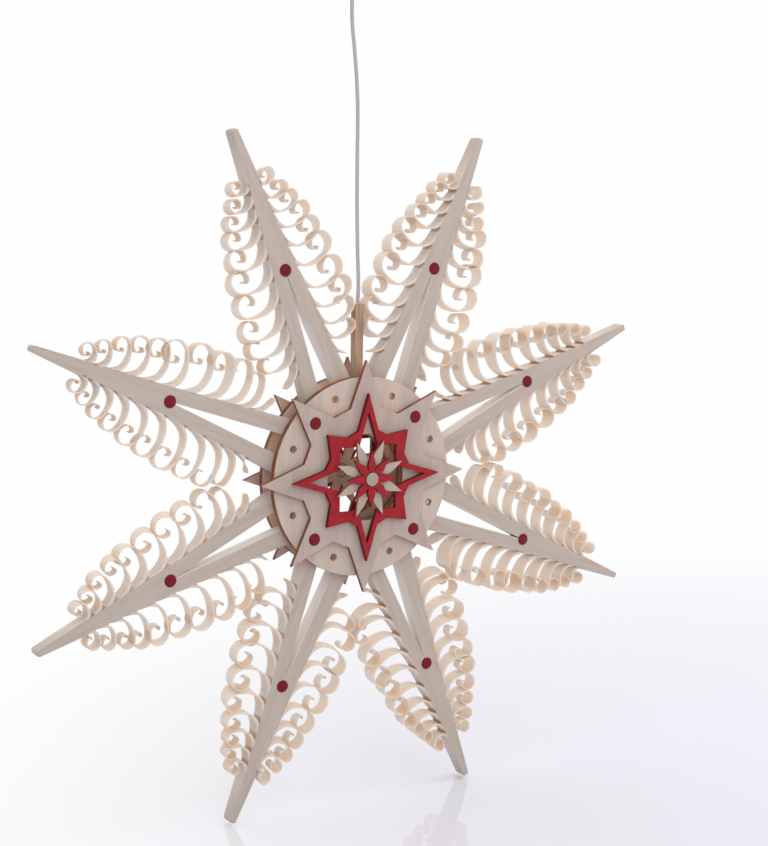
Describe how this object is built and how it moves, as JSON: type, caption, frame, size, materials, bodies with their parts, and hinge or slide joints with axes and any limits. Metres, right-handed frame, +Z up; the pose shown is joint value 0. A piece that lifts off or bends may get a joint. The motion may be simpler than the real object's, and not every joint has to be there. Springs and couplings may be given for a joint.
{
  "type": "illuminated star ornament",
  "caption": "Hanging wooden star lamp: split rays with shaved curls pegged round a hub of layered plates with red accents, hung by its lead from a ceiling hook.",
  "frame": {"origin": "middle of the ceiling plate's top face, with the hub's centre straight below", "axes": "+Z up, the star in the XZ plane, its front towards -Y"},
  "size_m": [0.3996, 0.0408, 0.5168],
  "materials": {
    "shaved_wood": "planed, untreated",
    "plywood": "sanded, edges darkened by cutting",
    "brown_wood": "stained brown",
    "red_paint": "painted red, satin",
    "white_plastic": "satin",
    "clear_lamp": "clear, warm",
    "white_metal": "white, satin"
  },
  "bodies": {
    "ceiling": {"ceiling_plate": "white_metal", "ceiling_hook": "white_metal"},
    "lead": {"cord": "white_plastic", "cord_clip": "white_plastic"},
    "star": {"ray_1": "shaved_wood", "ray_2": "shaved_wood", "ray_3": "shaved_wood", "ray_4": "shaved_wood", "ray_5": "shaved_wood", "ray_6": "shaved_wood", "ray_7": "shaved_wood", "ray_8": "shaved_wood", "ray_peg_1": "red_paint", "ray_peg_2": "red_paint", "ray_peg_3": "red_paint", "ray_peg_4": "red_paint", "ray_peg_5": "red_paint", "ray_peg_6": "red_paint", "ray_peg_7": "red_paint", "ray_peg_8": "red_paint", "hub_dowel_1": "red_paint", "hub_dowel_2": "red_paint", "hub_dowel_3": "red_paint", "hub_dowel_4": "red_paint", "front_red_frame": "red_paint", "front_red_flower": "red_paint", "back_red_frame": "red_paint", "back_red_flower": "red_paint", "front_disc": "plywood", "front_star_plate": "plywood", "front_flower": "plywood", "front_button": "plywood", "back_disc": "plywood", "back_star_plate": "plywood", "back_flower": "plywood", "back_button": "plywood", "post_block": "plywood", "post": "brown_wood", "inner_lead": "white_plastic", "lamp_holder": "white_plastic", "lamp": "clear_lamp"}
  },
  "joints": [
    {"name": "lead_swing", "type": "hinge", "parent": "ceiling", "child": "lead", "pos_m": [-0.007, 0, -0.0182], "axis": [1, 0, 0], "range_deg": [-25, 25]},
    {"name": "star_turn", "type": "hinge", "parent": "lead", "child": "star", "pos_m": [0, 0, -0.216], "axis": [0, 0, 1], "range_deg": [-180, 180]}
  ]
}
